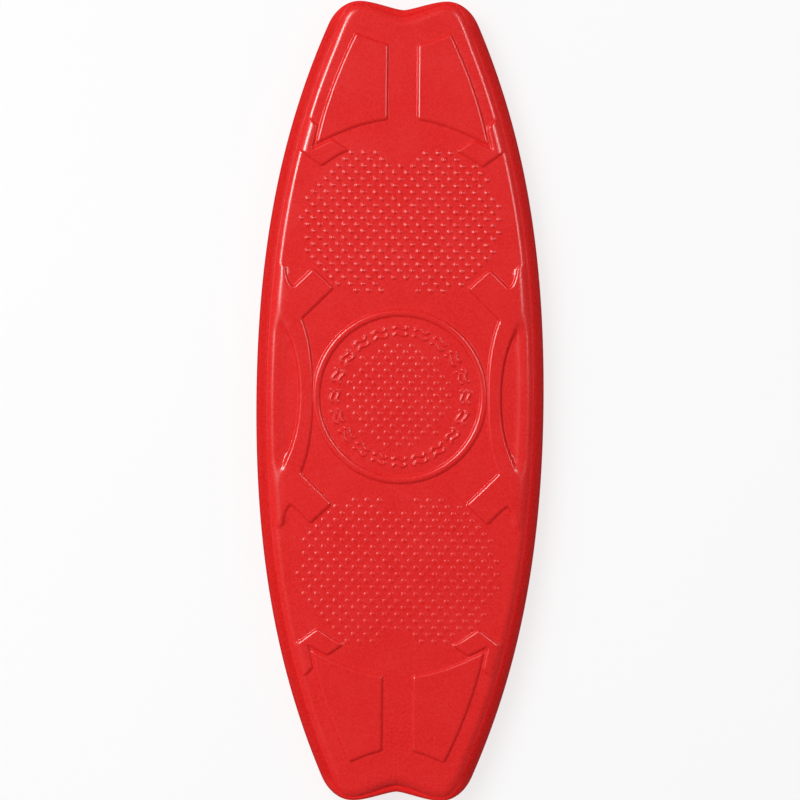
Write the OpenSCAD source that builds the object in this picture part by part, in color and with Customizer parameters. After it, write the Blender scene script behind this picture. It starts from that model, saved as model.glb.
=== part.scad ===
// Bodyboard: a moulded soft foam board, laminated from a deck skin, two rails,
// two core planks with a tube stringer between them, a bottom skin and a slick.
// It lies flat with the deck up: X across, Y towards the nose, Z up, origin under
// the middle of the board.

/* [Board] */
// Overall length, nose to tail
board_l = 914; // [860:1:970]
// Overall width at the middle
board_w = 329; // [310:1:350]
// Height of the plain deck above the ground
deck_z = 50; // [48:1:56]

/* [Rail] */
// Height of the widest line of the rail above the ground
apex_z = 31; // [28:1:33]
// Height of the seam between the rail and the deck skin
seam_z = 45.5; // [44.5:0.5:46]
// How far the seam lies inside the widest line, along the sides
seam_in = 11.5; // [10:0.5:13]
// How far the edge of the flat deck lies inside the widest line, along the sides
deck_in = 18; // [16:0.5:20]
// How far the foot of the rail lies inside the widest line, along the sides
foot_in = 14; // [12:0.5:16]

/* [Layers] */
// Thickness of the hard bottom sheet
slick_t = 1; // [0.8:0.1:1.5]
// Thickness of the foam sheet behind the hard bottom sheet
bottom_skin_t = 4; // [4:0.5:6]
// Thickness of the deck skin
deck_skin_t = 5; // [4.5:0.5:6]
// Thickness of the glue line between two pieces
glue = 0.1; // [0.05:0.05:0.15]

/* [Raised pattern] */
// Height of the raised pads, arms and side bands above the plain deck
relief_h = 2.5; // [2:0.5:3]
// Depth of the floor of a side grip recess below the plain deck
grip_drop = 1; // [0.5:0.5:1]
// Outer radius of the ring in the middle of the deck
ring_r = 99; // [96:1:102]
// Width of the rib that forms the ring
ring_w = 7; // [5:0.5:8]
// Distance that the pads and arms lie off the middle of the board, towards the nose
end_shift = 3.5; // [0:0.5:5]
// Distance that the ring and the side bands lie off the middle, towards the nose
middle_shift = 5; // [0:0.5:6]

/* [Stringer] */
// Outside diameter of the stringer tube
tube_d = 12; // [10:1:14]
// Wall of the stringer tube
tube_wall = 1.5; // [1:0.5:2]
// Length of the stringer tube
tube_l = 760; // [600:10:780]
// Length of the part of an end plug that shows outside the tube
plug_head = 4; // [3:1:6]
// Length of the part of an end plug that goes into the tube
plug_spigot = 15; // [10:1:25]

/* [Slick channels] */
// Length of a channel pressed into the bottom
channel_l = 240; // [180:10:260]
// Width of a channel
channel_w = 38; // [30:1:44]
// Depth of a channel
channel_depth = 2.4; // [1.5:0.1:2.4]
// Distance of a channel from the middle line
channel_x = 60; // [50:1:62]
// Place of the middle of a channel along the board
channel_y = -240; // [-250:1:-220]

/* [Hidden] */

$fn = 96;
foam_red = [0.80, 0.10, 0.09];
slick_red = [0.70, 0.07, 0.07];
core_white = [0.93, 0.92, 0.88];
backing_red = [0.72, 0.09, 0.09];
glass_black = [0.09, 0.09, 0.10];
plug_white = [0.85, 0.85, 0.84];

// The outline of one quarter of a board of OUTLINE_SIZE: three cubic curves that share their
// ends, the side, the corner, and the end with its notch at the middle line.
OUTLINE_SIZE = [329, 914];
OUTLINE = [
    [164.5, 0], [164.5, 170], [140, 305], [86, 430],
    [80, 444], [68, 457], [50, 457],
    [34, 457], [11, 447.6], [0, 447]
];
// The way in which each of those points moves when the outline is drawn further in.
INWARD = [
    [-1, 0], [-1, 0], [-0.92, -0.4], [-0.92, -0.4],
    [-0.92, -0.4], [-0.95, -1], [0, -1],
    [0.3, -1], [0.4, -1], [0, -1]
];
// Which inset each of those points uses: 0 along the side, 1 at the crest, 2 at the notch.
ZONE = [0, 0, 0, 0, 0, 1, 1, 1, 2, 2];
side_steps = 14;
corner_steps = 8;
end_steps = 8;

// Insets from the widest line as [along the side, at the crest of an end, at the notch].
WIDEST = [0, 0, 0];
SEAM = [seam_in, 4.5, 8];
DECK = [deck_in, 10.5, 16];
FOOT = [foot_in, 8, 9];
SLICK = FOOT + [1, 1, 1];
GAP = [1, 1, 1] * 2 * glue;
// The lip is the inner corner of the seam, and the waist is where the core is widest.
LIP = SEAM + [3, 3.5, 3.5];
CORE_TOP = DECK + [1.6, 3, 3];
WAIST = [9, 8, 9];
CORE_FOOT = FOOT + [8, 8, 8];

// Heights: the underside of the deck skin, the lip, the waist, the foot, and the joint between
// the two core planks, which is also the middle of the stringer
lip_drop = 4.1;
skin_under = deck_z - deck_skin_t;
lip_z = seam_z - lip_drop;
waist_z = apex_z - 1;
foot_z = slick_t + bottom_skin_t;
split_z = 25;
split_in = (split_z - foot_z) / (waist_z - foot_z);
SPLIT = CORE_FOOT * (1 - split_in) + WAIST * split_in;
groove_r = tube_d / 2 + glue;
groove_l = tube_l + 2 * plug_head + 2 * glue;
tube_bore = tube_d / 2 - tube_wall;

// A point on a cubic curve, and the curve as a list of points after its first one
function on_cubic(a, b, c, d, t) =
    a * pow(1 - t, 3) + 3 * b * t * pow(1 - t, 2) + 3 * c * t * t * (1 - t) + d * pow(t, 3);
function cubic(a, b, c, d, steps) =
    [for (i = [1 : steps]) on_cubic(a, b, c, d, i / steps)];

// One quarter of the outline, drawn further in by the three values of inset
function control(inset) = [
    for (i = [0 : len(OUTLINE) - 1])
        let (p = OUTLINE[i])
            [p.x * board_w / OUTLINE_SIZE.x, p.y * board_l / OUTLINE_SIZE.y]
                + INWARD[i] * inset[ZONE[i]]
];
function quarter(inset) =
    let (c = control(inset))
        concat(
            [c[0]],
            cubic(c[0], c[1], c[2], c[3], side_steps),
            cubic(c[3], c[4], c[5], c[6], corner_steps),
            cubic(c[6], c[7], c[8], c[9], end_steps)
        );

// The right-hand half, nose notch to tail notch, and the whole outline, anticlockwise
function half(inset) =
    let (q = quarter(inset), n = len(q))
        concat([for (i = [n - 1 : -1 : 0]) q[i]], [for (i = [1 : n - 1]) [q[i].x, -q[i].y]]);
function whole(inset) =
    let (q = quarter(inset), n = len(q))
        concat(
            q,
            [for (i = [n - 2 : -1 : 0]) [-q[i].x, q[i].y]],
            [for (i = [1 : n - 1]) -q[i]],
            [for (i = [n - 2 : -1 : 1]) [q[i].x, -q[i].y]]
        );

// A closed solid through whole outlines at the levels [inset, z], lowest first
module loft(levels) {
    rings = [for (l = levels) [for (p = whole(l[0])) [p.x, p.y, l[1]]]];
    n = len(rings[0]);
    top = (len(levels) - 1) * n;
    walls = [
        for (r = [0 : len(levels) - 2], i = [0 : n - 1])
            let (j = (i + 1) % n, a = r * n, b = a + n)
                each [[a + i, b + i, b + j], [a + i, b + j, a + j]]
    ];
    polyhedron(
        [for (ring = rings) each ring],
        concat([[for (i = [0 : n - 1]) i]], walls, [[for (i = [n - 1 : -1 : 0]) top + i]])
    );
}

// A strip along the right-hand half, with the section [inset, z] going round the strip
module strip(section) {
    rows = [for (s = section) [for (p = half(s[0])) [max(p.x, glue / 2), p.y, s[1]]]];
    n = len(rows[0]);
    k = len(section);
    walls = [
        for (r = [0 : k - 1], i = [0 : n - 2])
            let (s = (r + 1) % k)
                each [
                    [r * n + i, s * n + i, s * n + i + 1],
                    [r * n + i, s * n + i + 1, r * n + i + 1]
                ]
    ];
    polyhedron(
        [for (row = rows) each row],
        concat(
            [[for (r = [k - 1 : -1 : 0]) r * n]],
            walls,
            [[for (r = [0 : k - 1]) r * n + n - 1]]
        )
    );
}

// A flat sheet with the outline drawn in by inset
module sheet(inset, z, thickness) {
    translate([0, 0, z])
        linear_extrude(thickness)
            polygon(whole(inset));
}

// The child repeated in the four quarters of the board
module four_quarters() {
    for (mx = [0, 1], my = [0, 1])
        mirror([mx, 0])
            mirror([0, my])
                children();
}

// One of the two long pads near each end
module pad_2d() {
    polygon(concat(
        [[17.5, 317.5], [17.5, 402.5]],
        cubic([17.5, 402.5], [32, 405.5], [42, 410.5], [54, 415.5], 6),
        cubic([54, 415.5], [70, 382.5], [88, 339.5], [98, 289.5], 12),
        cubic([98, 289.5], [75, 300.5], [50, 313.5], [17.5, 317.5], 8)
    ));
}

// The short hooked arm beside each pad, which runs out over the deck edge
module end_arm_2d() {
    polygon(concat(
        [[62, 281.5]],
        cubic([62, 281.5], [72, 278.5], [82, 270.5], [92, 264], 6),
        [[117, 282.5], [130, 282.5], [122, 321.5], [107, 317.5], [97, 309.5], [103, 282.5], [80, 294]]
    ));
}

// A quarter of a side band: its arm, and its root that runs out over the deck edge
module side_band_2d() {
    polygon(concat(
        [[100, -0.1], [100, 18]],
        cubic([100, 18], [101, 45], [105, 70], [113, 88], 8),
        [[77, 123], [101, 145], [122.5, 124]],
        cubic([122.5, 124], [129, 126], [131, 138], [134, 148], 4),
        [[155, 148], [165, -0.1]]
    ));
}

// A quarter of the lens-shaped grip recess in a side band
module grip_2d() {
    polygon(concat(
        [[137.5, 0]],
        cubic([137.5, 0], [137.5, 30], [136, 60], [134, 82], 6),
        cubic([134, 82], [123, 62], [115, 38], [115, 0], 8)
    ));
}

// A quarter of the stretch where a side band is open, from its grip recess to the deck edge
module grip_gap_2d() {
    polygon(concat(
        [[115, -0.1], [170, -0.1], [170, 92], [145, 90], [134, 82]],
        cubic([134, 82], [123, 62], [115, 38], [115, 0], 8)
    ));
}

// All raised shapes seen from above, kept inside the deck edge
module raised_2d() {
    intersection() {
        union() {
            translate([0, end_shift])
                four_quarters() {
                    pad_2d();
                    end_arm_2d();
                }
            translate([0, middle_shift])
                difference() {
                    four_quarters() side_band_2d();
                    four_quarters() grip_gap_2d();
                }
        }
        polygon(whole(DECK + GAP));
    }
}

// The ring in the middle of the deck
module ring() {
    translate([0, middle_shift, skin_under + deck_skin_t / 2])
        rotate_extrude()
            translate([ring_r - ring_w, 0])
                square([ring_w, deck_skin_t / 2 + relief_h - glue]);
}

// One channel seen from above, with its edge moved out by grow
module channel_2d(grow) {
    r = channel_w / 2 + grow;
    run = channel_l / 2 - channel_w / 2;
    translate([channel_x, channel_y]) {
        square([2 * r, 2 * run], center = true);
        for (end = [-1, 1])
            translate([0, end * run])
                circle(r);
    }
}

module both_channels(height, grow) {
    for (side = [0, 1])
        mirror([side, 0, 0])
            linear_extrude(height)
                channel_2d(grow);
}

// Deck skin: covers the core, bends down over its edge and ends at the seam
module deck_skin() {
    color(foam_red)
        difference() {
            union() {
                loft([[CORE_TOP, skin_under], [LIP, lip_z], [SEAM, seam_z], [DECK, deck_z]]);
                translate([0, 0, deck_z - deck_skin_t / 2])
                    linear_extrude(relief_h + deck_skin_t / 2)
                        raised_2d();
                ring();
            }
            translate([0, middle_shift, deck_z - grip_drop])
                linear_extrude(relief_h + grip_drop + 1)
                    four_quarters()
                        grip_2d();
        }
}

// Rail strip: closes the side of the core between the bottom skin and the seam
module rail() {
    strip([
        [FOOT, foot_z + glue], [WIDEST, apex_z], [SEAM, seam_z - glue],
        [LIP - GAP / 2, lip_z - glue], [WAIST, waist_z], [CORE_FOOT, foot_z + glue]
    ]);
}

module right_rail() {
    color(foam_red) rail();
}

module left_rail() {
    color(foam_red)
        mirror([1, 0, 0])
            rail();
}

// The groove that both planks have for the stringer and its plugs
module groove() {
    translate([0, 0, split_z])
        rotate([90, 0, 0])
            cylinder(r = groove_r, h = groove_l, center = true);
}

module core_upper() {
    color(core_white)
        difference() {
            loft([
                [SPLIT + GAP, split_z + glue / 2], [WAIST + GAP, waist_z],
                [LIP + GAP, lip_z - 2 * glue], [CORE_TOP + GAP, skin_under - glue]
            ]);
            groove();
        }
}

module core_lower() {
    color(core_white)
        difference() {
            loft([[CORE_FOOT + GAP, foot_z + glue], [SPLIT + GAP, split_z - glue / 2]]);
            groove();
        }
}

module stringer_tube() {
    color(glass_black)
        translate([0, 0, split_z])
            rotate([90, 0, 0])
                difference() {
                    cylinder(d = tube_d, h = tube_l, center = true);
                    cylinder(r = tube_bore, h = tube_l + 2, center = true);
                }
}

// A round plug in the end of the stringer tube: its spigot points back into the tube
module plug() {
    translate([0, tube_l / 2 + glue, split_z])
        rotate([-90, 0, 0]) {
            cylinder(d = tube_d, h = plug_head - glue);
            translate([0, 0, -plug_spigot])
                cylinder(r = tube_bore - glue, h = plug_spigot + 1);
        }
}

module stringer_plug_front() {
    color(plug_white) plug();
}

module stringer_plug_rear() {
    color(plug_white)
        mirror([0, 1, 0])
            plug();
}

// Foam sheet behind the slick, cut away where the channels are pressed in
module bottom_skin() {
    color(backing_red)
        difference() {
            sheet(FOOT, slick_t + glue, bottom_skin_t - glue);
            both_channels(slick_t + channel_depth + 2 * glue, slick_t + glue);
        }
}

// Slick: the hard bottom sheet, with its two pressed channels
module slick_sheet() {
    color(slick_red)
        difference() {
            union() {
                sheet(SLICK, 0, slick_t);
                both_channels(slick_t + channel_depth, slick_t);
            }
            translate([0, 0, -1])
                both_channels(1 + channel_depth, 0);
        }
}

deck_skin();
left_rail();
right_rail();
core_upper();
core_lower();
stringer_tube();
stringer_plug_front();
stringer_plug_rear();
bottom_skin();
slick_sheet();
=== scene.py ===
"""A soft foam bodyboard, deck up: the looks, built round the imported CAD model.

The CAD node of every outer layer is replaced by a finer mesh of the same layer: the moulded
deck skin, the two rails, the bottom skin and the slick. The core planks, the stringer and its
plugs keep their CAD shapes. Shapes are worked out in millimetres and made in metres.
"""

import math

import bpy
import numpy as np
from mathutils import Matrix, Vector
from mathutils.geometry import delaunay_2d_cdt


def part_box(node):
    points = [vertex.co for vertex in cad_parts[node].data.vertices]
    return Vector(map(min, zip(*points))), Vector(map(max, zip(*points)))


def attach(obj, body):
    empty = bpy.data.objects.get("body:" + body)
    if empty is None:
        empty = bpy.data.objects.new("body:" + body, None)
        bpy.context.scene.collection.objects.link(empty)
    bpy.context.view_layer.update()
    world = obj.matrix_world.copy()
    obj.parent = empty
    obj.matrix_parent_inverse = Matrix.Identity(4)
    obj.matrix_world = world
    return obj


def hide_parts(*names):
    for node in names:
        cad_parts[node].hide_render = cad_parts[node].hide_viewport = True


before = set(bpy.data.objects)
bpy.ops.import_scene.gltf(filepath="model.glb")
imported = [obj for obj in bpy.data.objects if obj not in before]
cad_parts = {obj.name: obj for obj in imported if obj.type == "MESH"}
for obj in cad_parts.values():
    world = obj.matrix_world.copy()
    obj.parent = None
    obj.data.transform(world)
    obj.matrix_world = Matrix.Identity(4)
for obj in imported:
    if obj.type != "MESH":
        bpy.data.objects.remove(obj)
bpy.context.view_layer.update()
MM = 0.001

# ---- Sizes from the frame, in mm ------------------------------------------------------------


def levels(node):
    """Lowest and highest corner of a CAD node, in mm"""
    low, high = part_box(node)
    return np.array(low) / MM, np.array(high) / MM


RAIL_SPAN = levels("left_rail")[1] - levels("left_rail")[0]
BOARD_W, BOARD_L = 2 * RAIL_SPAN[0], RAIL_SPAN[1]
# How far the raised pads stand above the plain deck, and the skin's thickness under it
RELIEF_H = 2.5
DECK_Z = levels("deck_skin")[1][2] - RELIEF_H
SKIN_T = 5
SKIN_UNDER = DECK_Z - SKIN_T
# Heights of the seam between deck skin and rails, of the foot of the skin's lip inside it, of
# the widest line of the rails, and of the line where the rails are thinnest
SEAM_Z = 45.5
LIP_Z = SEAM_Z - 4.1
APEX_Z = 31
WAIST_Z = APEX_Z - 1
# The backing sheet reaches from BACKING_Z up to FOOT_Z, where the rails stand on it
BACKING_Z, FOOT_Z = levels("bottom_skin")[0][2], levels("bottom_skin")[1][2]
SLICK_T = 1
CHANNEL_DEPTH = levels("slick_sheet")[1][2] - SLICK_T
GLUE = 0.1

# ---- The outline, as in the design ----------------------------------------------------------

DESIGN_SIZE = np.array([329, 914])
# Control points of three cubic curves: the side, the crest and the run into the notch
OUTLINE = np.array([
    [164.5, 0], [164.5, 170], [140, 305], [86, 430],
    [80, 444], [68, 457], [50, 457],
    [34, 457], [11, 447.6], [0, 447],
])
# Which way each of them moves when the outline is drawn in by 1 mm
INWARD = np.array([
    [-1, 0], [-1, 0], [-0.92, -0.4], [-0.92, -0.4],
    [-0.92, -0.4], [-0.95, -1], [0, -1],
    [0.3, -1], [0.4, -1], [0, -1],
])
# The value that each point uses out of three: along the side, at a crest, at a notch
ZONE = np.array([0, 0, 0, 0, 0, 1, 1, 1, 2, 2])
CURVE_STEPS = (150, 16, 18)
END_STEPS = sum(CURVE_STEPS[1:])

# How far each line of the layers is drawn in: along the side, at a crest, at a notch
SEAM = np.array([11.5, 4.5, 8])
DECK = np.array([18, 10.5, 16])
FOOT = np.array([14, 8, 9])
LIP = SEAM + [3, 3.5, 3.5]
CORE_TOP = DECK + [1.6, 3, 3]
WAIST = np.array([9, 8, 9])
CORE_FOOT = FOOT + 8
SLICK = FOOT + 1
# How much lower the seam lies than SEAM_Z, in the same three places
SEAM_DROP = np.array([0, 0, 3.2])

# ---- The raised pattern, as in the design: one quarter each ----------------------------------

# How far the patterns at the ends and in the middle sit towards the nose
END_SHIFT, MIDDLE_SHIFT = 3.5, 5
RING_R = 99
RING_W = 7
GRIP_DROP = 1
# A wall rises over WALL from its foot, with a small fillet there and a soft crown
WALL = 4.6
FILLET, FOOT_OUT, CROWN_POWER = 0.1, 0.35, 2.2
# Near the deck edge, from ROOT_X outwards over ROOT_RUN, the walls of the bands and grips get
# softer: ROOT_WALL wide, or GAP_WALL where a band is open beside its grip
ROOT_X, ROOT_RUN, ROOT_WALL = 126, 16, 14
GAP_WALL = 40

# ---- The finer pattern, which the design leaves to this script -------------------------------

DOT_R = 3.4
DOT_POWER = 1.15
NOSE_DOT_H, TAIL_DOT_H, MEDAL_DOT_H = 1.35, 0.7, 0.65
DOT_PITCH = 14.1
DOT_CLEAR = 4.5
FIELD_ROWS, FIELD_COLUMNS = 22, range(-9, 10)
# The two lobes of a field of dots, side by side, and the bare dip between them
LOBE_X, LOBE_W, LOBE_PAST = 33, 81.5, 4
DIP_DEPTH, DIP_X = 15, 17.5
MEDAL_PITCH = 7.05
MEDAL_MIDDLE = (-1.3, 5.9)
MEDAL_R = 60.6
WAVES = 20
WAVE_R = 74.5
WAVE_REACH = 12
WAVE_H = 1.5
WAVE_WALL = 2.4
WAVE_STROKE = 3.4


def cubic(points, steps):
    """Points along a cubic curve, after its first one"""
    t = np.linspace(0, 1, steps + 1)[1:, None]
    a, b, c, d = (np.array(p, float) for p in points)
    return a * (1 - t) ** 3 + 3 * b * t * (1 - t) ** 2 + 3 * c * t * t * (1 - t) + d * t ** 3


def quarter(inset, z=0):
    """A quarter of the outline, drawn in by inset, at height z; both may differ by zone"""
    inset = np.asarray(inset, float)[ZONE][:, None]
    height = np.broadcast_to(np.asarray(z, float), 3)[ZONE]
    place = OUTLINE * (BOARD_W, BOARD_L) / DESIGN_SIZE + INWARD * inset
    control = np.column_stack([place, height])
    curves = [cubic(control[i:i + 4], n) for i, n in zip((0, 3, 6), CURVE_STEPS)]
    return np.concatenate([control[:1]] + curves)


def half(inset, z=0):
    """The right-hand half of the outline, from the nose notch to the tail notch"""
    q = quarter(inset, z)
    return np.concatenate([q[::-1], q[1:] * (1, -1, 1)])


def whole(inset, z=0):
    """The whole outline, without a doubled point"""
    h = half(inset, z)
    return np.concatenate([h, h[-2:0:-1] * (-1, 1, 1)])


def rounded(corners, radius=2.5, steps=3, smooth=math.radians(20)):
    """A closed polygon with its corners rounded; points that turn less than smooth stay"""
    points = np.array(corners, float)
    out = []
    for before, here, after in zip(np.roll(points, 1, 0), points, np.roll(points, -1, 0)):
        inward, outward = before - here, after - here
        cut = [min(radius, 0.45 * np.hypot(*v)) * v / np.hypot(*v) for v in (inward, outward)]
        turn = math.pi - math.acos(np.clip(np.dot(*(v / np.hypot(*v) for v in cut)), -1, 1))
        if turn < smooth:
            out.append(here)
            continue
        for t in np.linspace(0, 1, steps + 1):
            out.append(here + cut[0] * (1 - t) ** 2 + cut[1] * t ** 2)
    return np.array(out)


PAD = rounded([
    (17.5, 317.5), (17.5, 402.5),
    *cubic([(17.5, 402.5), (32, 405.5), (42, 410.5), (54, 415.5)], 8),
    *cubic([(54, 415.5), (70, 382.5), (88, 339.5), (98, 289.5)], 24),
    *cubic([(98, 289.5), (75, 300.5), (50, 313.5), (17.5, 317.5)], 16)[:-1],
])
END_ARM = rounded([
    (62, 281.5),
    *cubic([(62, 281.5), (72, 278.5), (82, 270.5), (92, 264)], 8),
    (117, 282.5), (130, 282.5), (122, 321.5), (107, 317.5), (97, 309.5), (103, 282.5), (80, 294),
])
SIDE_BAND = rounded([
    (100, -30), (100, 18),
    *cubic([(100, 18), (101, 45), (105, 70), (113, 88)], 16),
    (77, 123), (101, 145), (122.5, 124),
    *cubic([(122.5, 124), (129, 126), (131, 138), (134, 148)], 6),
    (165, 148), (170, -30),
])
# The grip recess, and the stretch where the side band stays open from it out to the edge
GRIP_GAP = rounded([
    (115, -30), (170, -30), (170, 92), (145, 90), (134, 82),
    *cubic([(134, 82), (123, 62), (115, 38), (115, 0)], 16),
])
GRIP = rounded([
    (115, -30), (137.5, -30), (137.5, 0),
    *cubic([(137.5, 0), (137.5, 30), (136, 60), (134, 82)], 16),
    *cubic([(134, 82), (123, 62), (115, 38), (115, 0)], 16),
])


def wave_line(v):
    """One wavy stroke of a sign as a line of points: u along the ring, v outwards"""
    control = [(-7.2, v - 0.8), (-3.2, v + 6), (3.2, v - 6), (7.2, v + 0.8)]
    return np.vstack([control[:1], cubic(control, 14)])


# One sign of the ring of waves is two strokes, one above the other
WAVE_LINES = [wave_line(v) for v in (-3.6, 3.6)]


# ---- Distances and heights -------------------------------------------------------------------

# Points handled at a time, to save memory
CHUNK = 4096


def inside_by(points, polygon, reach=None):
    """How far each point lies inside a closed polygon, negative outside it; exact up to reach"""
    if reach:
        low, high = polygon.min(0) - reach, polygon.max(0) + reach
        near = ((points > low) & (points < high)).all(1)
        out = np.full(len(points), -float(reach))
        out[near] = inside_by(points[near], polygon)
        return out
    a, b = polygon, np.roll(polygon, -1, 0)
    edge = b - a
    length2 = (edge ** 2).sum(1)
    out = np.empty(len(points))
    for start in range(0, len(points), CHUNK):
        p = points[start:start + CHUNK, None]
        along = np.clip(((p - a) * edge).sum(2) / length2, 0, 1)
        near = ((p - a - along[..., None] * edge) ** 2).sum(2).min(1) ** 0.5
        spans = (a[:, 1] > p[..., 1]) != (b[:, 1] > p[..., 1])
        rise = np.where(edge[:, 1] == 0, 1, edge[:, 1])
        crossing = a[:, 0] + (p[..., 1] - a[:, 1]) * edge[:, 0] / rise
        odd = (spans & (p[..., 0] < crossing)).sum(1) % 2 == 1
        out[start:start + CHUNK] = np.where(odd, near, -near)
    return out


def outline_area(inset):
    """A quarter of the outline as a closed polygon that runs on past both middle lines"""
    q = quarter(inset)[:, :2]
    far = 80
    return np.concatenate([[(q[0, 0], -far)], q, [(-far, q[-1, 1]), (-far, -far)]])


SEAM_AREA, DECK_AREA = outline_area(SEAM), outline_area(DECK)


def ramp(inside, width):
    """0 outside a wall, 1 inside it; across its width a small fillet and then a long soft crown"""
    t = np.clip(inside / width + FOOT_OUT, 0, 1)
    return 1 - (1 - t * t * (1 + FILLET) / (t + FILLET)) ** CROWN_POWER


def soft_min(a, b, blend):
    """The lower of two heights, with the corner between them rounded off"""
    close = np.clip(1 - np.abs(a - b) / blend, 0, 1)
    return np.minimum(a, b) - close ** 2 * blend / 4


def line_and_back(line):
    """A line of points as a polygon without any inside"""
    return np.concatenate([line, line[-2:0:-1]])


def fold_wave(points):
    """Points of the ring of waves, moved into the place of a single sign"""
    x, y = points[:, 0], points[:, 1] - MIDDLE_SHIFT
    step = 2 * math.pi / WAVES
    angle = np.arctan2(y, x)
    turn = angle - np.round(angle / step) * step
    radius = np.hypot(x, y)
    return np.column_stack([-radius * np.sin(turn), radius * np.cos(turn) - WAVE_R])


def relief(points):
    """Height of the raised pads, arms, bands, ring and waves above the plain deck"""
    ends, middle = (np.abs(points - (0, shift)) for shift in (END_SHIFT, MIDDLE_SHIFT))
    radius = np.hypot(*middle.T)
    outwards = np.clip((middle[:, 0] - ROOT_X) / ROOT_RUN, 0, 1) ** 2
    root_wall = WALL + (ROOT_WALL - WALL) * outwards
    gap_wall = WALL + (GAP_WALL - WALL) * outwards
    raised = RELIEF_H * np.maximum.reduce([
        ramp(inside_by(ends, PAD, WALL), WALL),
        ramp(inside_by(ends, END_ARM, WALL), WALL),
        np.minimum(ramp(inside_by(middle, SIDE_BAND, ROOT_WALL), root_wall),
                   ramp(-inside_by(middle, GRIP_GAP, GAP_WALL), gap_wall)),
        ramp(RING_W / 2 - np.abs(radius - RING_R + RING_W / 2), WALL),
    ])
    raised -= GRIP_DROP * (1 - ramp(-inside_by(middle, GRIP, ROOT_WALL), root_wall))
    ring = np.abs(radius - WAVE_R) < WAVE_REACH
    strokes = [inside_by(fold_wave(points[ring]), line_and_back(w)) for w in WAVE_LINES]
    raised[ring] += WAVE_H * ramp(np.maximum(*strokes) + WAVE_STROKE / 2, WAVE_WALL)
    return raised


def dot_rows(first, last, offsets):
    """Staggered rows of dots from y = first to y = last, as wide as the board"""
    found = []
    for i, y in enumerate(np.linspace(first, last, FIELD_ROWS)):
        x = offsets[i % 2] + DOT_PITCH * np.array(FIELD_COLUMNS)
        found.append(np.column_stack([x, np.full(len(x), y)]))
    return np.concatenate(found)


def dot_field(first, last, offsets):
    """One field of dots: two round lobes side by side, with a dip between them"""
    dots = dot_rows(first, last, offsets)
    x, y = np.abs(dots[:, 0]), dots[:, 1] - (first + last) / 2
    lobe_h = abs(last - first) / 2 + LOBE_PAST
    keep = (((x - LOBE_X) / LOBE_W) ** 2 + (y / lobe_h) ** 2 < 1) | (x < LOBE_X)
    keep &= ~((np.abs(y) > lobe_h - DIP_DEPTH) & (x < DIP_X))
    for arm, shift in ((END_ARM, END_SHIFT), (SIDE_BAND, MIDDLE_SHIFT)):
        keep &= inside_by(np.abs(dots - (0, shift)), arm) < -DOT_CLEAR
    return dots[keep]


def medal_dots():
    """The round field of closer dots in the middle of the ring"""
    reach = math.ceil(MEDAL_R / MEDAL_PITCH)
    found = []
    for j in range(-reach, reach + 1):
        shift = (j % 2) * MEDAL_PITCH
        for i in range(-reach, reach + 1):
            found.append((i * 2 * MEDAL_PITCH + shift, j * MEDAL_PITCH))
    dots = np.array(found)
    dots = dots[np.hypot(*dots.T) < MEDAL_R]
    return dots + MEDAL_MIDDLE


# The dots of each set, with their height
DOT_SETS = (
    (NOSE_DOT_H, dot_field(125.6, 282.6, (5.7, -1.35))),
    (TAIL_DOT_H, dot_field(-113.9, -274.9, (5.8, -1.3))),
    (MEDAL_DOT_H, medal_dots()),
)
DOTS = np.concatenate([dots for _, dots in DOT_SETS])
DOT_HEIGHTS = np.concatenate([np.full(len(dots), height) for height, dots in DOT_SETS])


def dot_height(points):
    """Height of the dots: domes that meet the deck at a crease"""
    nearest = np.empty(len(points), int)
    for start in range(0, len(points), CHUNK):
        p = points[start:start + CHUNK, None]
        nearest[start:start + CHUNK] = ((p - DOTS) ** 2).sum(2).argmin(1)
    from_middle = ((points - DOTS[nearest]) ** 2).sum(1)
    return DOT_HEIGHTS[nearest] * np.clip(1 - from_middle / DOT_R ** 2, 0, 1) ** DOT_POWER


# The deck's edge, over t from 0 at the seam to 1 at the flat deck: a ledge outside, then a bevel
LEDGE_RISE = 1.6
BEVEL_RISE = 5.6
BEVEL_PAST = 0.3
# At the nose and the tail the bevel is a longer roll, which ends in a steep foot
ROLL_T = 1.8
ROLL_RISE, ROLL_POWER = 2.8, 1.8
ROLL_FOOT, ROLL_FOOT_POWER = 2.0, 5
# Where the ends start, and over how many mm the sides turn into them
END_Y, END_RUN = 405, 33
# How widely the corners are rounded off along the sides and at the ends: between the ledge and
# the bevel, and between the bevel and the deck, where a raised pattern adds its share
LEDGE_BLEND = 1.0, 0.4
BEVEL_BLEND = 3.4, 0.5
PATTERN_BLEND = 0.8
SEAM_GROOVE = 0.3
SEAM_GROOVE_T = 0.09


def mixed(pair, end):
    """The first of two values along the sides, the second at the ends"""
    return pair[0] * (1 - end) + pair[1] * end


def edge_slope(t, end, drop):
    """Height of the edge of the deck at t; end is 0 along the sides and 1 at the nose and the
    tail, where the seam lies lower by drop"""
    ledge = SEAM_Z - drop + LEDGE_RISE * t
    bevel = DECK_Z + BEVEL_PAST + BEVEL_RISE * (t - 1)
    left = np.clip((ROLL_T - t) / ROLL_T, 0, None)
    roll = DECK_Z - ROLL_RISE * left ** ROLL_POWER - (ROLL_FOOT + drop) * left ** ROLL_FOOT_POWER
    roll += np.clip(t - ROLL_T, 0, None) * BEVEL_RISE
    slope = bevel * (1 - end) + roll * end
    raised = -soft_min(-ledge, -slope, mixed(LEDGE_BLEND, end))
    return raised - SEAM_GROOVE * np.clip(1 - t / SEAM_GROOVE_T, 0, 1) ** 2


def seam_drop(folded):
    """How much lower the seam lies near a notch than along the sides"""
    x, _, drop = quarter(SEAM, SEAM_DROP)[::-1][:END_STEPS].T
    return np.interp(folded[:, 0], x, drop)


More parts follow.
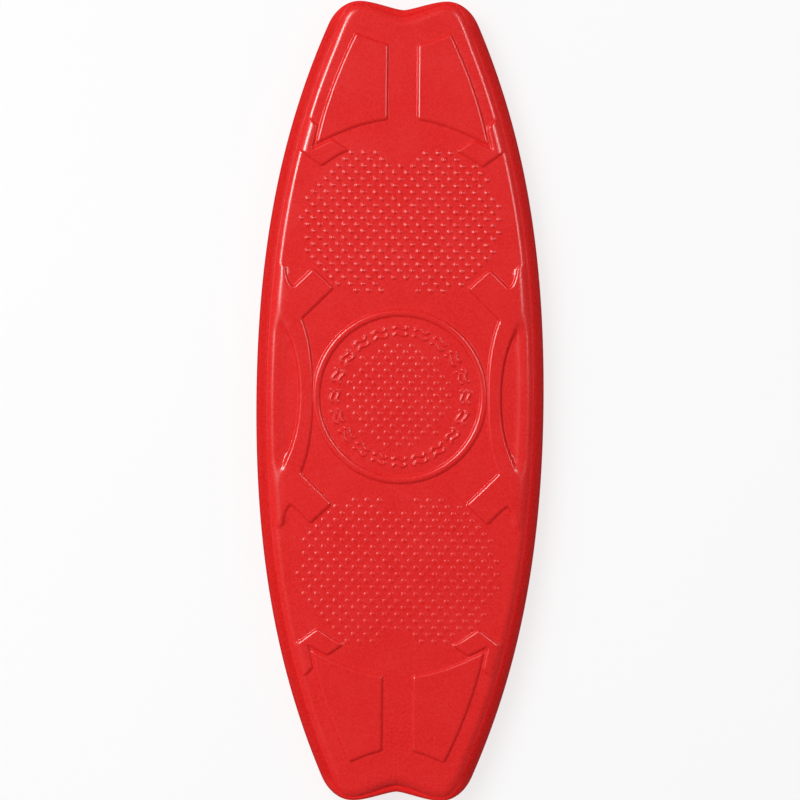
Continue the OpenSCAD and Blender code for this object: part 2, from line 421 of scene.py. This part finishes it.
def deck_height(points):
    """Height of the top of the deck skin: its pattern and dots, cut off by the edge"""
    folded = np.abs(points)
    from_seam, from_deck = inside_by(folded, SEAM_AREA), inside_by(folded, DECK_AREA)
    t = np.clip(from_seam, 0, None) / np.maximum(from_seam - from_deck, 1)
    end = np.clip((folded[:, 1] - END_Y) / END_RUN, 0, 1)
    pattern = relief(points)
    blend = mixed(BEVEL_BLEND, end) + PATTERN_BLEND * np.clip(pattern, 0, RELIEF_H)
    edge = edge_slope(t, end, end * seam_drop(folded))
    return soft_min(DECK_Z + pattern + dot_height(points), edge, blend)


def deck_normals(points):
    """Direction of the deck's surface, from its slope both ways"""
    step = 0.12
    slopes = [
        (deck_height(points + d) - deck_height(points - d)) / (2 * step)
        for d in ((step, 0), (0, step))
    ]
    n = np.column_stack([-slopes[0], -slopes[1], np.ones(len(points))])
    return n / np.linalg.norm(n, axis=1)[:, None]


# ---- Points of the deck's mesh ---------------------------------------------------------------

# Lines of points up a wall or a wave's wall, from a little outside its foot, in wall widths
WALL_LINES, WAVE_WALL_LINES = 9, 5
LINES_FROM, LINES_SPAN, LINES_POWER = -0.37, 1.07, 1.5
# Places of the rings of points over the deck's edge
EDGE_T = (0.045, 0.09, 0.18, 0.3, 0.42, 0.55, 0.7, 0.82, 0.92, 1.0, 1.08, 1.18, 1.32, 1.48, 1.7,
          2.1)
# Circles of points over a dot: radius in dot radii, and the number of points
DOT_RINGS = ((0, 1), (0.22, 6), (0.42, 10), (0.62, 12), (0.8, 12), (0.95, 13), (1.06, 13))
# Points along the ring, and round the end of a wave's stroke
RING_POINTS, STROKE_END_POINTS = 270, 14
# Gaps between points along a wall and over the plain deck, and the least gaps that each kind of
# point keeps to earlier ones and to the border
WALL_GAP, PLAIN_GAP = 2.2, 6.0
DOT_LEAST, PATTERN_LEAST, PLAIN_LEAST = 0.1, 0.22, 2.5
BORDER_LEAST = 0.15


def spaced(polygon, gap):
    """Points at even gaps along a closed polygon, and the way out of it at each"""
    closed = np.vstack([polygon, polygon[:1]])
    at = np.concatenate([[0], np.cumsum(np.hypot(*np.diff(closed, axis=0).T))])
    n = max(8, round(at[-1] / gap))
    s = np.linspace(0, at[-1], n, endpoint=False)
    points = np.column_stack([np.interp(s, at, closed[:, k]) for k in (0, 1)])
    ahead, behind = np.roll(points, -1, 0), np.roll(points, 1, 0)
    tangent = ahead - behind
    tangent /= np.hypot(*tangent.T)[:, None]
    turning = np.cross(closed[:-1], closed[1:]).sum()
    return points, np.column_stack([tangent[:, 1], -tangent[:, 0]]) * np.sign(turning)


def wall_steps(width, lines):
    """Places across a wall, a little beyond both its foot and its top, closer near its foot"""
    return width * (LINES_FROM + LINES_SPAN * np.linspace(0, 1, lines) ** LINES_POWER)


def wall_lines(polygon, width):
    """Lines of points up the wall round a polygon"""
    points, out = spaced(polygon, WALL_GAP)
    return np.concatenate([points - out * d for d in wall_steps(width, WALL_LINES)])


def four_ways(points, shift):
    """Points of one quarter, kept inside it, mirrored into all four and moved towards the nose"""
    kept = points[(points[:, 0] >= 0) & (points[:, 1] >= 0)]
    return np.concatenate([kept * (sx, sy) + (0, shift) for sx in (1, -1) for sy in (1, -1)])


def circle_points(radius, count, turn=0):
    """Points at even gaps round a circle"""
    a = np.arange(count) * 2 * math.pi / count + turn
    return np.column_stack([np.cos(a), np.sin(a)]) * radius


def ring_points():
    """Circles of points over the ring"""
    across = wall_steps(WALL, WALL_LINES)
    radii = (*(RING_R - across), *(RING_R - RING_W + across))
    return np.concatenate([circle_points(r, RING_POINTS) for r in radii]) + (0, MIDDLE_SHIFT)


def stroke_points(line):
    """Lines of points along a stroke and up both its walls, with fans round its ends"""
    ahead = np.gradient(line, axis=0)
    side = np.column_stack([-ahead[:, 1], ahead[:, 0]]) / np.hypot(*ahead.T)[:, None]
    across = WAVE_STROKE / 2 - wall_steps(WAVE_WALL, WAVE_WALL_LINES)
    rows = [line + side * d for d in (*across, *-across)]
    for end in (line[0], line[-1]):
        rows += [end + circle_points(d, STROKE_END_POINTS) for d in across if d > 0]
    return np.concatenate(rows)


def wave_points():
    """Lines of points up the walls of all the waves"""
    one = np.concatenate([stroke_points(line) for line in WAVE_LINES])
    found = []
    for k in range(WAVES):
        a = k * 2 * math.pi / WAVES
        out, along = np.array([math.cos(a), math.sin(a)]), np.array([math.sin(a), -math.cos(a)])
        found.append(one[:, :1] * along + (one[:, 1:] + WAVE_R) * out)
    return np.concatenate(found) + (0, MIDDLE_SHIFT)


def dot_points():
    """Small circles of points over each dot"""
    one = np.concatenate([circle_points(r * DOT_R, n, r) for r, n in DOT_RINGS])
    return (DOTS[:, None] + one).reshape(-1, 2)


def plain_points(gap):
    """A sparse field of points for the plain parts"""
    rows = np.arange(-BOARD_L / 2, BOARD_L / 2, gap * math.sqrt(3) / 2)
    found = []
    for j, y in enumerate(rows):
        x = np.arange(-BOARD_W / 2, BOARD_W / 2, gap) + (j % 2) * gap / 2
        found.append(np.column_stack([x, np.full(len(x), y)]))
    return np.concatenate(found)


def edge_points():
    """Rings of points from the seam up over the edge of the deck"""
    return np.concatenate([whole(SEAM + t * (DECK - SEAM))[:, :2] for t in EDGE_T])


def thinned(points, kept, gap):
    """The points that lie no nearer than gap to the kept ones, with at most one to each cell"""
    cells = {tuple(c) for c in np.floor(kept / gap).astype(int)}
    near = [(dx, dy) for dx in (-1, 0, 1) for dy in (-1, 0, 1)]
    found = []
    for p, c in zip(points, np.floor(points / gap).astype(int)):
        if any((c[0] + dx, c[1] + dy) in cells for dx, dy in near):
            continue
        cells.add(tuple(c))
        found.append(p)
    return np.array(found).reshape(-1, 2)


def deck_points():
    """All points of the top of the deck, most important first; returns the border and the rest"""
    border = whole(SEAM, SEAM_Z - SEAM_GROOVE - SEAM_DROP)
    shapes = ((PAD, WALL, END_SHIFT), (END_ARM, WALL, END_SHIFT), (SIDE_BAND, WALL, MIDDLE_SHIFT),
              (GRIP_GAP, -WALL, MIDDLE_SHIFT), (GRIP, -WALL, MIDDLE_SHIFT))
    walls = [four_ways(wall_lines(shape, wall), shift) for shape, wall, shift in shapes]
    patterns = np.concatenate([*walls, ring_points(), wave_points()])
    found = edge_points()
    for more, least in ((dot_points(), DOT_LEAST), (patterns, PATTERN_LEAST),
                        (plain_points(PLAIN_GAP), PLAIN_LEAST)):
        found = np.concatenate([found, thinned(more, found, least)])
    inside = inside_by(np.abs(found), SEAM_AREA) > BORDER_LEAST
    return border, found[inside]


# ---- Meshes ----------------------------------------------------------------------------------


def ring_faces(count, first, second, closed=True):
    """Four-sided faces between two rows of points, given by their first index"""
    last = count if closed else count - 1
    return [
        (first + i, first + (i + 1) % count, second + (i + 1) % count, second + i)
        for i in range(last)
    ]


def triangles_of(border, inner, keep):
    """Triangles over a flat area: its border first, then its inner points"""
    points = np.concatenate([border, inner])
    verts, _, faces, origin, _, _ = delaunay_2d_cdt(
        [Vector(p) for p in points], [(i, (i + 1) % len(border)) for i in range(len(border))],
        [], 0, 1e-5,
    )
    source = np.array([o[0] for o in origin])
    faces = np.array(faces)
    flat = np.array([tuple(v) for v in verts])
    centres = flat[faces].mean(1)
    return source[faces[keep(centres)]]


def make(name, node, material, points, faces, sharp_loops, normals=None):
    """A piece of the board from points in mm, riding on the board in place of its CAD node"""
    mesh = bpy.data.meshes.new(name)
    mesh.from_pydata((np.asarray(points) * MM).tolist(), [], [tuple(map(int, f)) for f in faces])
    mesh.validate()
    mesh.shade_smooth()
    mark_sharp(mesh, sharp_loops)
    if normals:
        mesh.normals_split_custom_set(normals(mesh))
    piece = bpy.data.objects.new(name, mesh)
    bpy.context.scene.collection.objects.link(piece)
    mesh.materials.append(material)
    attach(piece, "root")
    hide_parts(node)
    return piece


def mark_sharp(mesh, loops):
    """Makes the edges between neighbouring points of each loop sharp"""
    pairs = {frozenset((a, b)) for loop in loops for a, b in zip(loop, np.roll(loop, -1))}
    for edge in mesh.edges:
        if frozenset(edge.vertices) in pairs:
            edge.use_edge_sharp = True


def deck_piece(material):
    """Deck skin: the moulded top, its turned-down lip and its flat underside"""
    seam, inner = deck_points()
    border, count = seam[:, :2], len(seam)
    top = np.concatenate([border, inner])
    top_z = deck_height(top)
    top_z[:count] = seam[:, 2]
    tops = triangles_of(border, inner, lambda c: inside_by(np.abs(c), SEAM_AREA) > 0)
    lip, under = whole(LIP, LIP_Z), whole(CORE_TOP, SKIN_UNDER)
    points = np.concatenate([np.column_stack([top, top_z]), lip, under])
    at_lip, at_under = len(top), len(top) + count
    sides = ring_faces(count, 0, at_lip) + ring_faces(count, at_lip, at_under)
    cap = [tuple(range(at_under, at_under + count))]
    faces = upward(tops, points) + sides + cap
    upper = deck_normals(top)
    loops = [range(start, start + count) for start in (0, at_lip, at_under)]
    return make("deck_foam_skin", "deck_skin", material, points, faces, loops,
                lambda mesh: corner_normals(mesh, upper, len(tops)))


def corner_normals(mesh, upper, triangles):
    """Normals for a mesh's corners: given ones for its first triangles, zero leaves the rest"""
    index = np.empty(len(mesh.loops), int)
    mesh.loops.foreach_get("vertex_index", index)
    corners = np.zeros((len(mesh.loops), 3))
    corners[:3 * triangles] = upper[index[:3 * triangles]]
    return corners


def upward(faces, points):
    """The same triangles, turned so that they all face up"""
    a, b, c = (points[faces[:, k], :2] for k in (0, 1, 2))
    flip = np.cross(b - a, c - a) < 0
    faces = np.where(flip[:, None], faces[:, ::-1], faces)
    return [tuple(f) for f in faces]


# Steps of a rail's section below and above its widest line, and the open seam beside the deck
RAIL_LOW_STEPS, RAIL_HIGH_STEPS = 12, 16
SEAM_GAP = 0.02


def rail_section():
    """The outside of a rail from its foot to the seam, then back inside: (inset, height) pairs,
    three to a row for the side, a crest and a notch"""
    foot, top = FOOT_Z + GLUE, SEAM_Z - GLUE - SEAM_DROP
    low = [
        [(14, foot), (10.5, 9), (1, 22), (0, APEX_Z)],
        [(8, foot), (5.5, 9), (0.5, 22), (0, APEX_Z)],
        [(9, foot), (6, 9), (0.5, 22), (0, APEX_Z)],
    ]
    high = [
        [(0, APEX_Z), (0, 37), (5.5, 43.2), (11.3, top[0])],
        [(0, APEX_Z), (0, 42), (0.1, 46.6), (4.3, top[1])],
        [(0, APEX_Z), (0, 40), (0.1, 43.8), (7.8, top[2])],
    ]
    first = np.array([curve[0] for curve in low])[None]
    rows = [
        np.stack([cubic(curve, steps) for curve in curves], 1)
        for curves, steps in ((low, RAIL_LOW_STEPS), (high, RAIL_HIGH_STEPS))
    ]
    outside = np.concatenate([first, *rows])
    inside = [
        (SEAM + SEAM_GAP, SEAM_Z - SEAM_GROOVE - SEAM_DROP),
        (LIP - GLUE, np.full(3, LIP_Z - GLUE)),
        (WAIST, np.full(3, float(WAIST_Z))),
        (CORE_FOOT, np.full(3, foot)),
    ]
    inner = np.array([np.column_stack(pair) for pair in inside])
    return np.concatenate([outside, inner])


def rail_piece(name, mirror, material):
    """Rail: a strip round one half of the board, from the nose notch to the tail notch"""
    section = rail_section()
    rows = [half(s[:, 0], s[:, 1]) for s in section]
    count, n = len(rows[0]), len(rows)
    points = np.concatenate(rows)
    points[:, 0] = np.maximum(points[:, 0], 0)
    faces = []
    for r in range(n):
        faces += ring_faces(count, r * count, ((r + 1) % n) * count, closed=False)
    faces.append([r * count for r in range(n)][::-1])
    faces.append([r * count + count - 1 for r in range(n)])
    if mirror:
        points[:, 0] *= -1
        faces = [tuple(f)[::-1] for f in faces]
    # Sharp along the foot, the seam and the lip, and round both end faces
    corners = [n - 5, n - 4, n - 3, n - 1, 0]
    loops = [range(r * count, (r + 1) * count) for r in corners]
    loops += [[r * count + end for r in range(n)] for end in (0, count - 1)]
    return make(name + "_foam", name, material, points, faces, loops)


# ---- Underside -------------------------------------------------------------------------------

CHANNEL_X, CHANNEL_Y = 60, -240
CHANNEL_L, CHANNEL_W = 240, 38
CHANNEL_RUN = CHANNEL_L / 2 - CHANNEL_W / 2
CHANNEL_WALL = 4.0
# Lines of points over a channel's wall, how far they go past it, and points on each part
CHANNEL_LINES, LINES_PAST, CHANNEL_POINTS = 8, 0.3, 25
# Gap between a sheet's plain points, and the least gaps to other points and to the border
SHEET_GAP, SHEET_LEAST, SHEET_BORDER_LEAST = 14, 3, 1
RIM_STEPS = 5


def channel_inside(points):
    """How far each point lies inside a channel's outline"""
    x = np.abs(points[:, 0]) - CHANNEL_X
    y = np.clip(np.abs(points[:, 1] - CHANNEL_Y) - CHANNEL_RUN, 0, None)
    return CHANNEL_W / 2 - np.hypot(x, y)


def channel_line(offset):
    """Points of both channels' outlines, drawn in by offset"""
    r = CHANNEL_W / 2 - offset
    turn = np.linspace(0, math.pi, CHANNEL_POINTS)
    arc = np.column_stack([np.cos(turn), np.sin(turn)]) * r + (0, CHANNEL_RUN)
    along = np.linspace(-CHANNEL_RUN, CHANNEL_RUN, CHANNEL_POINTS + 1)[1:-1]
    straight = np.column_stack([np.full(len(along), r), along])
    one = np.concatenate([arc, -arc, straight, -straight]) + (CHANNEL_X, CHANNEL_Y)
    return np.concatenate([one, one * (-1, 1)])


def sheet_layout(inset):
    """A sheet seen from above: its points, how many of them are its border, its triangles"""
    border, area = whole(inset)[:, :2], outline_area(inset)
    offsets = np.linspace(-LINES_PAST, CHANNEL_WALL + LINES_PAST, CHANNEL_LINES)
    walls = np.concatenate([channel_line(offset) for offset in offsets])
    plain = thinned(plain_points(SHEET_GAP), np.vstack([walls, border]), SHEET_LEAST)
    inner = np.concatenate([walls, plain])
    inner = inner[inside_by(np.abs(inner), area) > SHEET_BORDER_LEAST]
    triangles = triangles_of(border, inner, lambda c: inside_by(np.abs(c), area) > 0)
    return np.concatenate([border, inner]), len(border), triangles


def sheet_piece(name, node, material, inset, edge, low, high):
    """A sheet with a rounded rim; low and high give the heights of its two faces by how far a
    point is down in a channel, from 0 to 1"""
    flat, count, triangles = sheet_layout(inset + edge)
    channel = ramp(channel_inside(flat) - CHANNEL_WALL / 2, CHANNEL_WALL)
    bottom = np.column_stack([flat, low(channel)])
    top = np.column_stack([flat, high(channel)])
    middle, half_t = (bottom[0, 2] + top[0, 2]) / 2, (top[0, 2] - bottom[0, 2]) / 2
    rims = [
        whole(inset + edge * (1 - math.cos(a)), middle + half_t * math.sin(a))
        for a in np.linspace(-math.pi / 2, math.pi / 2, RIM_STEPS + 2)[1:-1]
    ]
    points = np.concatenate([bottom, top, *rims])
    at_top, at_rims = len(flat), 2 * len(flat)
    up = upward(triangles, points)
    faces = [f[::-1] for f in up] + [tuple(i + at_top for i in f) for f in up]
    rows = [0] + [at_rims + k * count for k in range(RIM_STEPS)] + [at_top]
    for lower, upper in zip(rows, rows[1:]):
        faces += [f[::-1] for f in ring_faces(count, lower, upper)]
    loops = [range(count), range(at_top, at_top + count)]
    return make(name, node, material, points, faces, loops)


# ---- Materials -------------------------------------------------------------------------------

# Sizes of the foam skins' texture in metres: pebbles, fine grain, specks and blotches
PEBBLE, FINE, SPECK, BLOTCH = 0.0011, 0.0008, 0.0026, 0.045
# The rails' painted light at the nose and tail ends starts, and is full, this far from the middle,
# in metres
LIT_END_FROM = (0.425, 0.440)


class Nodes:
    """Short ways to build a material out of nodes"""

    def __init__(self, name):
        self.material = bpy.data.materials.new(name)
        self.material.use_nodes = True
        self.tree = self.material.node_tree
        self.shader = self.tree.nodes["Principled BSDF"]
        self.place = self.add("ShaderNodeTexCoord").outputs["Object"]

    def add(self, kind, inputs=None, **settings):
        """A new node with its inputs and settings"""
        node = self.tree.nodes.new(kind)
        for key, value in settings.items():
            setattr(node, key, value)
        for key, value in (inputs or {}).items():
            self.put(value, node.inputs[key])
        return node

    def put(self, value, socket):
        """Links or sets a socket"""
        if isinstance(value, bpy.types.NodeSocket):
            self.tree.links.new(value, socket)
        else:
            socket.default_value = value

    def noise(self, size, detail=2.0, roughness=0.5, place=None):
        """Noise whose lumps are about size metres across"""
        inputs = {"Vector": place or self.place, "Scale": 1 / size, "Detail": detail,
                  "Roughness": roughness}
        return self.add("ShaderNodeTexNoise", inputs).outputs["Fac"]

    def cells(self, size):
        """Distance from the middles of cells about size metres across"""
        inputs = {"Vector": self.place, "Scale": 1 / size}
        return self.add("ShaderNodeTexVoronoi", inputs).outputs["Distance"]

    def span(self, value, low, high, to_low=0.0, to_high=1.0):
        """value from low to high, spread over to_low to to_high"""
        inputs = {"Value": value, "From Min": low, "From Max": high, "To Min": to_low,
                  "To Max": to_high}
        return self.add("ShaderNodeMapRange", inputs).outputs["Result"]

    def math(self, operation, a, b=0.0):
        """The result of a sum on one or two values"""
        node = self.add("ShaderNodeMath", operation=operation)
        self.put(a, node.inputs[0])
        self.put(b, node.inputs[1])
        return node.outputs[0]

    def mix(self, amount, a, b):
        """Colour a where amount is 0 and b where it is 1; 6, 7 and 2 are its colour sockets"""
        node = self.add("ShaderNodeMix", data_type="RGBA")
        self.put(amount, node.inputs[0])
        self.put(a, node.inputs[6])
        self.put(b, node.inputs[7])
        return node.outputs[2]

    def bump(self, height, distance, normal=None):
        """Bumps as high as distance metres, on top of an earlier normal"""
        node = self.add("ShaderNodeBump", {"Height": height, "Distance": distance, "Strength": 1.0})
        if normal:
            self.put(normal, node.inputs["Normal"])
        return node.outputs["Normal"]

    def finish(self, **inputs):
        """The material, with these inputs of its shader"""
        for key, value in inputs.items():
            self.put(value, self.shader.inputs[key.replace("_", " ")])
        return self.material


def shade(red, green, blue, factor=1.0):
    """A colour for a socket, made darker by factor"""
    return (red * factor, green * factor, blue * factor, 1)


def pale(colour):
    """A little lighter and whiter than a red"""
    return shade(colour[0] * 1.05, colour[1] + 0.015, colour[2] + 0.015)


def foam_skin(name, colour, grain, rough, gloss=0.5, lit_end=None):
    """Moulded closed-cell foam skin: pebbles grain metres high, faint blotches and a soft sheen;
    with an end colour, its nose and tail ends turn to that lighter colour, painted light for the
    up-facing ends"""
    n = Nodes(name)
    pebble = n.cells(PEBBLE)
    fine = n.noise(FINE, 2, 0.6)
    blotch = n.noise(BLOTCH, 3, 0.55)
    speck = n.span(n.noise(SPECK, 4, 0.7), 0.36, 0.64)
    dark, light = shade(*colour, 0.93), shade(*colour, 0.97)
    tone = n.mix(n.span(blotch, 0.35, 0.65), dark, light)
    tone = n.mix(speck, tone, pale(colour))
    # Painted light: near the nose and tail ends the colour turns lighter, for the up-facing ledges
    # there
    if lit_end:
        y = n.add("ShaderNodeSeparateXYZ", {"Vector": n.place}).outputs["Y"]
        near_end = n.span(n.math("ABSOLUTE", y), *LIT_END_FROM)
        tone = n.mix(near_end, tone, n.mix(speck, shade(*lit_end), pale(lit_end)))
    sheen = n.math("ADD", n.span(fine, 0.3, 0.7, rough - 0.02, rough + 0.02),
                   n.span(blotch, 0.3, 0.7, -0.03, 0.03))
    height = n.math("ADD", n.span(pebble, 0.0, 0.7), n.span(fine, 0.2, 0.8, 0, 0.6))
    normal = n.bump(height, grain)
    return n.finish(Base_Color=tone, Roughness=sheen, Normal=normal, Specular_IOR_Level=gloss)


def slick_plastic():
    """Smooth hard sheet: glossy, with long faint rubbing marks and soft waviness"""
    n = Nodes("slick_red")
    stretch = {"Vector": n.place, "Scale": (1, 0.04, 1)}
    scratch = n.noise(0.0012, 4, 0.6, n.add("ShaderNodeMapping", stretch).outputs["Vector"])
    blotch = n.noise(0.06, 3)
    tone = n.mix(n.span(blotch, 0.35, 0.65), shade(0.50, 0.014, 0.014), shade(0.56, 0.018, 0.017))
    worn = n.span(scratch, 0.60, 0.72)
    tone = n.mix(n.math("MULTIPLY", worn, 0.25), tone, shade(0.72, 0.16, 0.14))
    rough = n.math("ADD", n.span(blotch, 0.3, 0.7, 0.20, 0.28), n.math("MULTIPLY", worn, 0.2))
    normal = n.bump(n.noise(0.02, 2), 0.0006)
    normal = n.bump(scratch, 0.00006, normal)
    return n.finish(Base_Color=tone, Roughness=rough, Normal=normal, IOR=1.5)


def bead_foam():
    """White bead foam of the core planks"""
    n = Nodes("bead_foam_white")
    beads = n.cells(0.004)
    tone = n.mix(n.span(beads, 0.35, 0.65), shade(0.84, 0.83, 0.78), shade(0.66, 0.65, 0.60))
    rough = n.span(n.noise(0.002), 0.3, 0.7, 0.75, 0.9)
    return n.finish(Base_Color=tone, Roughness=rough, Normal=n.bump(beads, -0.0008))


def woven_fibre():
    """Black glass fibre tube with a fine slanted weave"""
    n = Nodes("stringer_black")
    weave = n.add("ShaderNodeTexWave", {"Vector": n.place, "Scale": 160.0, "Distortion": 1.0},
                  bands_direction="DIAGONAL").outputs["Fac"]
    tone = n.mix(weave, shade(0.008, 0.008, 0.009), shade(0.03, 0.03, 0.034))
    rough = n.span(n.noise(0.004), 0.3, 0.7, 0.3, 0.45)
    return n.finish(Base_Color=tone, Roughness=rough, Normal=n.bump(weave, 0.0001))


def plug_plastic():
    """Pale moulded plastic of the stringer's plugs"""
    n = Nodes("plug_white")
    cloud = n.noise(0.004, 3)
    tone = n.mix(n.span(cloud, 0.35, 0.65), shade(0.66, 0.66, 0.64), shade(0.74, 0.74, 0.72))
    rough = n.span(cloud, 0.3, 0.7, 0.42, 0.55)
    return n.finish(Base_Color=tone, Roughness=rough, Normal=n.bump(n.noise(0.0008), 0.00005))


def floor_white():
    """Matt studio floor that also glows a little, like a light table, which weakens shadows"""
    n = Nodes("studio_floor")
    tone = n.mix(n.noise(0.5), shade(0.19, 0.19, 0.19), shade(0.21, 0.21, 0.21))
    return n.finish(Base_Color=tone, Roughness=0.85, Emission_Color=shade(1, 1, 1),
                    Emission_Strength=0.77)


# ---- Studio ----------------------------------------------------------------------------------

# What the picture shows across, in metres at the widest line of the board, and the camera's
# height above that line, its turn and its step towards the nose
VIEW_W = 0.9158
CAMERA_UP = 5.0
CAMERA_TURN = math.radians(0.52)
CAMERA_OFF = 0.001
FLOOR_REACH = 6
SURROUND_LIGHT = 0.27
# Each light: name, direction (compass and height, in degrees), distance, size, power, glossy
LIGHTS = (
    ("key", (130, 58), 9.0, (5.0, 5.0), 525, False),
    ("side", (180, 50), 1.4, (1.8, 0.6), 3.6, False),
    ("strip_left", (148, 50), 2.6, (1.2, 0.34), 60, True),
    ("strip_right", (30, 50), 2.6, (1.2, 0.30), 20, True),
)


def camera():
    """Straight above the board, from far enough to flatten the perspective"""
    data = bpy.data.cameras.new("camera")
    data.sensor_width = 36
    data.lens = data.sensor_width * CAMERA_UP / VIEW_W
    data.dof.use_dof = False
    data.clip_end = 50
    made = bpy.data.objects.new("camera", data)
    up = (-math.sin(CAMERA_TURN), math.cos(CAMERA_TURN))
    made.location = (CAMERA_OFF * up[0], CAMERA_OFF * up[1], CAMERA_UP + APEX_Z * MM)
    made.rotation_euler = (0, 0, CAMERA_TURN)
    bpy.context.scene.collection.objects.link(made)
    bpy.context.scene.camera = made


def softbox(name, towards, distance, size, power, glossy):
    """A light that faces the board from a compass direction and height, in degrees.

    A glossy one only makes highlights, and the others only light the surfaces evenly.
    """
    azimuth, elevation = (math.radians(a) for a in towards)
    level, up = math.cos(elevation), math.sin(elevation)
    place = Vector((math.cos(azimuth) * level, math.sin(azimuth) * level, up)) * distance
    data = bpy.data.lights.new(name, "AREA")
    data.shape = "RECTANGLE"
    data.size, data.size_y = size
    data.energy = power
    made = bpy.data.objects.new(name, data)
    made.location = place
    made.rotation_euler = (-place).to_track_quat("-Z", "Y").to_euler()
    made.visible_glossy, made.visible_diffuse = glossy, not glossy
    bpy.context.scene.collection.objects.link(made)


def studio_floor():
    """Pale floor, left out of the reflections in the board"""
    mesh = bpy.data.meshes.new("floor")
    turns = ((-1, -1), (1, -1), (1, 1), (-1, 1))
    corners = [(x * FLOOR_REACH, y * FLOOR_REACH, 0) for x, y in turns]
    mesh.from_pydata(corners, [], [(0, 1, 2, 3)])
    mesh.materials.append(floor_white())
    floor = bpy.data.objects.new("floor", mesh)
    floor.visible_glossy = False
    bpy.context.scene.collection.objects.link(floor)


def surroundings():
    """Even white light from all round, left out of the reflections too"""
    world = bpy.data.worlds.new("surroundings")
    world.use_nodes = True
    background = world.node_tree.nodes["Background"].inputs
    background["Color"].default_value = (1, 1, 1, 1)
    background["Strength"].default_value = SURROUND_LIGHT
    world.cycles_visibility.glossy = False
    bpy.context.scene.world = world


def studio():
    """The floor, two soft lights from the left for the surfaces, and a narrow light on each side
    for the highlights"""
    studio_floor()
    surroundings()
    for light in LIGHTS:
        softbox(*light)
    bpy.context.scene.view_settings.view_transform = "Standard"


# ---- The board -------------------------------------------------------------------------------

# The rails' red is darker than the deck's: painted shade standing in for the shade on their steep
# sides
DECK_RED, RAIL_RED = (0.84, 0.013, 0.012), (0.70, 0.005, 0.004)
# The lighter red of the rails' nose and tail ends is painted light for the up-facing ledges there
LIT_END_RED, BACKING_RED = (0.78, 0.010, 0.009), (0.62, 0.022, 0.02)
BACKING_EDGE, SLICK_EDGE = 0.6, 0.5


def board():
    """The five outer layers; the four foam ones are solid"""
    skin = foam_skin("deck_foam_red", DECK_RED, 0.000012, 0.26)
    # The rails' two reds paint shade along their sides and light at their ends
    rail = foam_skin("rail_foam_red", RAIL_RED, 0.00003, 0.40, gloss=0.08, lit_end=LIT_END_RED)
    backing = foam_skin("backing_foam_red", BACKING_RED, 0.0003, 0.6)
    pieces = [
        deck_piece(skin),
        rail_piece("left_rail", True, rail),
        rail_piece("right_rail", False, rail),
        sheet_piece("backing_sheet", "bottom_skin", backing, FOOT, BACKING_EDGE,
                    lambda channel: BACKING_Z + (CHANNEL_DEPTH + GLUE) * channel,
                    lambda channel: FOOT_Z + 0 * channel),
    ]
    sheet_piece("slick_sheet_smooth", "slick_sheet", slick_plastic(), SLICK,
                SLICK_EDGE, lambda channel: CHANNEL_DEPTH * channel,
                lambda channel: CHANNEL_DEPTH * channel + SLICK_T)


def carried_over():
    """Materials for the CAD nodes that stay"""
    materials = {
        "core_upper": bead_foam(), "core_lower": bead_foam(), "stringer_tube": woven_fibre(),
        "stringer_plug_front": plug_plastic(), "stringer_plug_rear": plug_plastic(),
    }
    for name, material in materials.items():
        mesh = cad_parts[name].data
        mesh.materials.clear()
        mesh.materials.append(material)


board()
carried_over()
studio()
camera()
